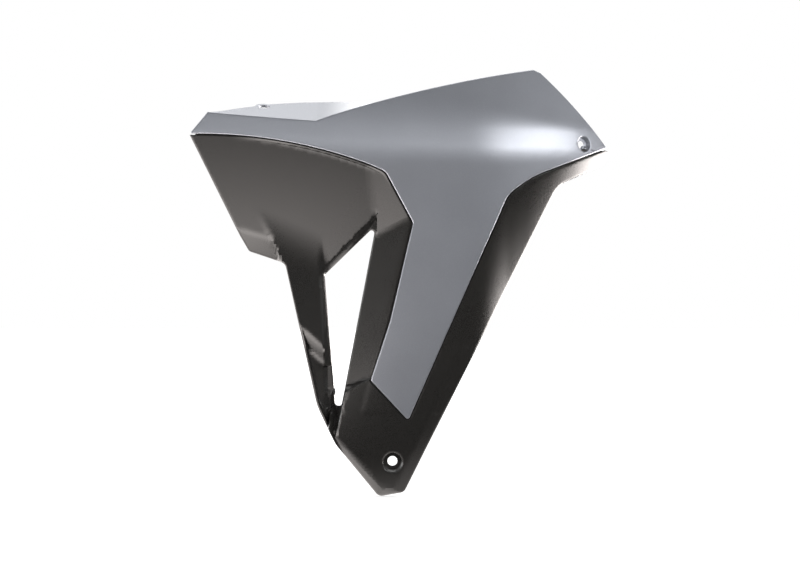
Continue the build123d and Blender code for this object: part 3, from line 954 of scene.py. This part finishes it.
# %% Shape the dark moulding
dark = flat_sheet("dark_moulding", dark_loops, ring_steps(dark_rim), 3.0, cuts)
lift(dark, dark_loops, dark_rim, ledged_face, fine_edge=gap_edge)
draw_edge(dark, lambda x, y, z: not at_foot_cup(x, y, z), dark_flange)
for radius, height in ((8.15, 1.5), (5.25, 1.5), (5.25, 0.4)):
    draw_edge(dark, at_foot_cup, ring_place((0, 0, 0), foot_normal, radius, height))
thicken(dark, wall)

# %% [markdown]
# The land behind the cover is a second sheet of the same moulding. It lies a wall and a small
# gap behind the cover's face and closes the shadow gap round the cover.

# %% Lay the land
seat_gap, land_rim = 0.25, 0.3
land_line = [(221, 333), (186, 326), (150, 314), (118, 297), (60, 290), (10, 292)]
land_line += [(-12, 320), (-60, 341), (-125, 354), (-190, 358), (-208, 347)]
land_edge = [point for point in beside(cover_edge, shadow_gap + 1.5) if -210 < point[0] < 225]
land_loops = [land_edge + land_line]


def land_face(x, z, edge_distance):
    """Behind the cover's wall, and never proud of the dark face."""
    return np.maximum(skin(x, z) + wall + seat_gap, dark_face(x, z, edge_distance) + 1.0)


land = flat_sheet("dark_land", land_loops, (land_rim,), 8.0)
lift(land, land_loops, land_rim, land_face)
thicken(land, wall)

# %% [markdown]
# The land carries a cup for each of the cover's screw bosses. A cup is a cylinder with softened
# edges, set to the skin's depth at its place.

# %% Stand the screw cups
boss_height, cup_floor, cup_radius = 7.0, 2.0, 5.7
screw_places = [(-172, 350.5), (-100, 341.5), (-30, 321.3), (25, 215), (8, 82), (140, 301.5)]
cups = []
for x, z in screw_places:
    face = float(skin(np.array(float(x)), np.array(float(z))))
    start = face + wall + seat_gap + 1.0
    end = face + wall + boss_height + seat_gap + cup_floor
    bpy.ops.object.select_all(action="DESELECT")
    bpy.ops.mesh.primitive_cylinder_add(vertices=40, radius=cup_radius * mm, depth=(end - start) * mm)
    cup = bpy.context.object
    cup.rotation_euler = (pi / 2, 0, 0)
    cup.location = (x * mm, (start + end) / 2 * mm, z * mm)
    bpy.ops.object.transform_apply(location=True, rotation=True, scale=True)
    softened = cup.modifiers.new("softened", "BEVEL")
    softened.width, softened.segments = 0.6 * mm, 3
    bpy.ops.object.modifier_apply(modifier=softened.name)
    bpy.ops.object.shade_smooth_by_angle(angle=radians(38))
    cups.append(cup)

# %% Join the dark moulding
only(dark)
for piece in (land, *cups):
    piece.select_set(True)
bpy.ops.object.join()
print("screw cups:", len(cups))
weigh_normals(dark)
clothe(dark, "dark_plastic")
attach(dark, "root")
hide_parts("vent_panel")
print("dark moulding:", len(dark.data.polygons), "faces")

# %% [markdown]
# ## Floor, light and camera
#
# The product shot has a white ground with no horizon. To the camera the floor glows almost white
# and keeps the shadow, and it fades to full white in the distance.
#
# A glossy facet shows what its mirror direction points at, so one that faces the ground is as
# bright as the ground looks to it. The floor therefore has a second look, for glossy rays only:
# dark, with a bright pool at the front left that the front facets see, a softer one behind the
# shroud, and a small strong one that the tail sees. It stands in for the bounce boards round a
# real product, and it belongs to the stage: the finishes know nothing of it.

# %% Lay the floor
low_z = cad_box[0][2]
bpy.ops.object.select_all(action="DESELECT")
bpy.ops.mesh.primitive_plane_add(size=24.0, location=(0.0, 6.0, low_z - 0.0005))
floor = bpy.context.object
bpy.ops.object.transform_apply(location=True, rotation=True, scale=True)
floor.name = "floor"
floor_material = bpy.data.materials.new("floor_white")
floor_material.use_nodes = True
floor_tree = floor_material.node_tree
floor_tree.nodes.clear()
ray = floor_tree.nodes.new("ShaderNodeLightPath")
seen = Wire(floor_tree, ray.outputs["Is Camera Ray"])
mirrored = Wire(floor_tree, ray.outputs["Is Glossy Ray"])
spot = node(floor_tree, "ShaderNodeTexCoord", {}, output=3)
spot_split = floor_tree.nodes.new("ShaderNodeSeparateXYZ")
floor_tree.links.new(spot.socket, spot_split.inputs[0])
spot_x, spot_y = (Wire(floor_tree, spot_split.outputs[axis]) for axis in "XY")
print("floor at", round(low_z, 4))

# %% What the camera sees of the floor
horizon_start = 1.2
far = spot_y.above(horizon_start, horizon_start)
matte = node(floor_tree, "ShaderNodeBsdfDiffuse", {}, (0.80, 0.80, 0.80, 1.0))
glow_level = seen * (0.60 + 0.5 * far).clamp()
glow = node(floor_tree, "ShaderNodeEmission", {}, glow_level, 1.0)
lit = node(floor_tree, "ShaderNodeAddShader", {}, matte, glow)

# %% What glossy rays see of the floor
dim, pool_glow, beneath_glow, tail_glow = 0.05, 7.8, 2.0, 18.0
warm_white = (1.0, 0.94, 0.91)
pool = (0.0 - spot_x - 0.4 * spot_y).above(0.22, 0.10) * spot_y.above(-0.42, 0.5)
beneath = spot_y.above(-0.03, 0.12)
right_side = spot_x.above(0.22, 0.08)
tail_pool = spot_x.above(0.54, 0.08) * spot_y.above(0.11, 0.10)
mirror_level = dim + pool_glow * pool * (1.0 - beneath)
mirror_level = mirror_level + beneath_glow * beneath * (1.0 - right_side)
mirror_level = mirror_level + tail_glow * tail_pool
tinted = node(floor_tree, "ShaderNodeVectorMath", {"operation": "SCALE"}, warm_white, Scale=mirror_level)
reflected = node(floor_tree, "ShaderNodeEmission", {}, tinted, 1.0)
both = node(floor_tree, "ShaderNodeMixShader", {}, mirrored, lit, reflected)
floor_out = floor_tree.nodes.new("ShaderNodeOutputMaterial")
floor_tree.links.new(both.socket, floor_out.inputs["Surface"])
floor.data.materials.append(floor_material)
print("floor material:", len(floor_tree.nodes), "nodes")

# %% [markdown]
# The world is plain white to the camera. To the object it is a dim room, brighter on the left and
# behind. Glossy rays that leave low also find a brighter backdrop there, while the camera's own
# side stays dark and gives the facets their contrast.

# %% Paint the world
world = bpy.data.worlds.new("studio")
bpy.context.scene.world = world
world.use_nodes = True
sky = world.node_tree
sky.nodes.clear()
sky_ray = sky.nodes.new("ShaderNodeLightPath")
sky_seen = Wire(sky, sky_ray.outputs["Is Camera Ray"])
way = node(sky, "ShaderNodeTexCoord", {}, output=0)
split = sky.nodes.new("ShaderNodeSeparateXYZ")
sky.links.new(way.socket, split.inputs[0])
way_x, way_y, way_z = (Wire(sky, split.outputs[axis]) for axis in "XYZ")
behind = way_y.above(0.35, 0.7)
leftward = (0.0 - way_x).above(0.5, 0.6)
sky_mirrored = Wire(sky, sky_ray.outputs["Is Glossy Ray"])
low = 1.0 - way_z.above(0.35, 0.2)
rightward = way_x.above(0.5, 0.3)
far_left = (0.0 - way_x).above(0.88, 0.16)
backdrop = 2.6 * behind * (1.0 - rightward) + 4.0 * far_left
room = 0.10 + 0.9 * leftward + 0.75 * behind
level = room + sky_mirrored * low * backdrop
level = level * (1.0 - sky_seen) + sky_seen
sky_out = node(sky, "ShaderNodeBackground", {}, level, 1.0)
world_out = sky.nodes.new("ShaderNodeOutputWorld")
sky.links.new(sky_out.socket, world_out.inputs["Surface"])
print("world:", len(sky.nodes), "nodes")

# %% [markdown]
# Three soft lights: a weak strip above the camera, a long panel at the front right, and a large
# one above and behind that lights the top plate and the upper edges.


# %% Hang the lights
def soft_light(name, place, aim, width, height, watts):
    """A rectangular soft light at a place, turned towards its aim."""
    lamp = bpy.data.lights.new(name, "AREA")
    lamp.shape, lamp.size, lamp.size_y = "RECTANGLE", width, height
    lamp.energy = watts
    holder = bpy.data.objects.new(name, lamp)
    bpy.context.scene.collection.objects.link(holder)
    holder.location = place
    holder.rotation_euler = (Vector(aim) - Vector(place)).to_track_quat("-Z", "Y").to_euler()
    print(name, "at", place)


middle = (0.0, -0.02, 0.19)
soft_light("over_camera", (-0.3, -2.2, 0.90), middle, 1.6, 0.5, 5.4)
soft_light("right_front", (1.25, -1.1, 0.74), middle, 1.5, 0.45, 20.0)
soft_light("top", (0.2, 1.0, 1.9), middle, 1.8, 1.2, 13.0)

# %% [markdown]
# The camera stands level and square to the shroud's side, as far off as a long lens would be. Its
# place follows from where the lower bolt hole lies in the picture, and from how many metres one
# pixel spans at the shroud.

# %% Set the camera
face_distance = 0.04
metres_per_pixel = 0.00105
image_width, image_height = 800, 565
origin_pixel = (392.3, 462.0)
camera_distance = 5.0
centre_x = (image_width / 2 - origin_pixel[0]) * metres_per_pixel
centre_z = (origin_pixel[1] - image_height / 2) * metres_per_pixel
camera_data = bpy.data.cameras.new("camera")
camera = bpy.data.objects.new("camera", camera_data)
bpy.context.scene.collection.objects.link(camera)
camera.location = (centre_x, -camera_distance, centre_z)
camera.rotation_euler = (pi / 2, 0.0, 0.0)
camera_data.sensor_width = 36.0
picture_width = image_width * metres_per_pixel
camera_data.lens = camera_data.sensor_width * (camera_distance - face_distance) / picture_width
bpy.context.scene.camera = camera
bpy.context.scene.view_settings.view_transform = "Standard"
print("lens", round(camera_data.lens, 1), "mm")
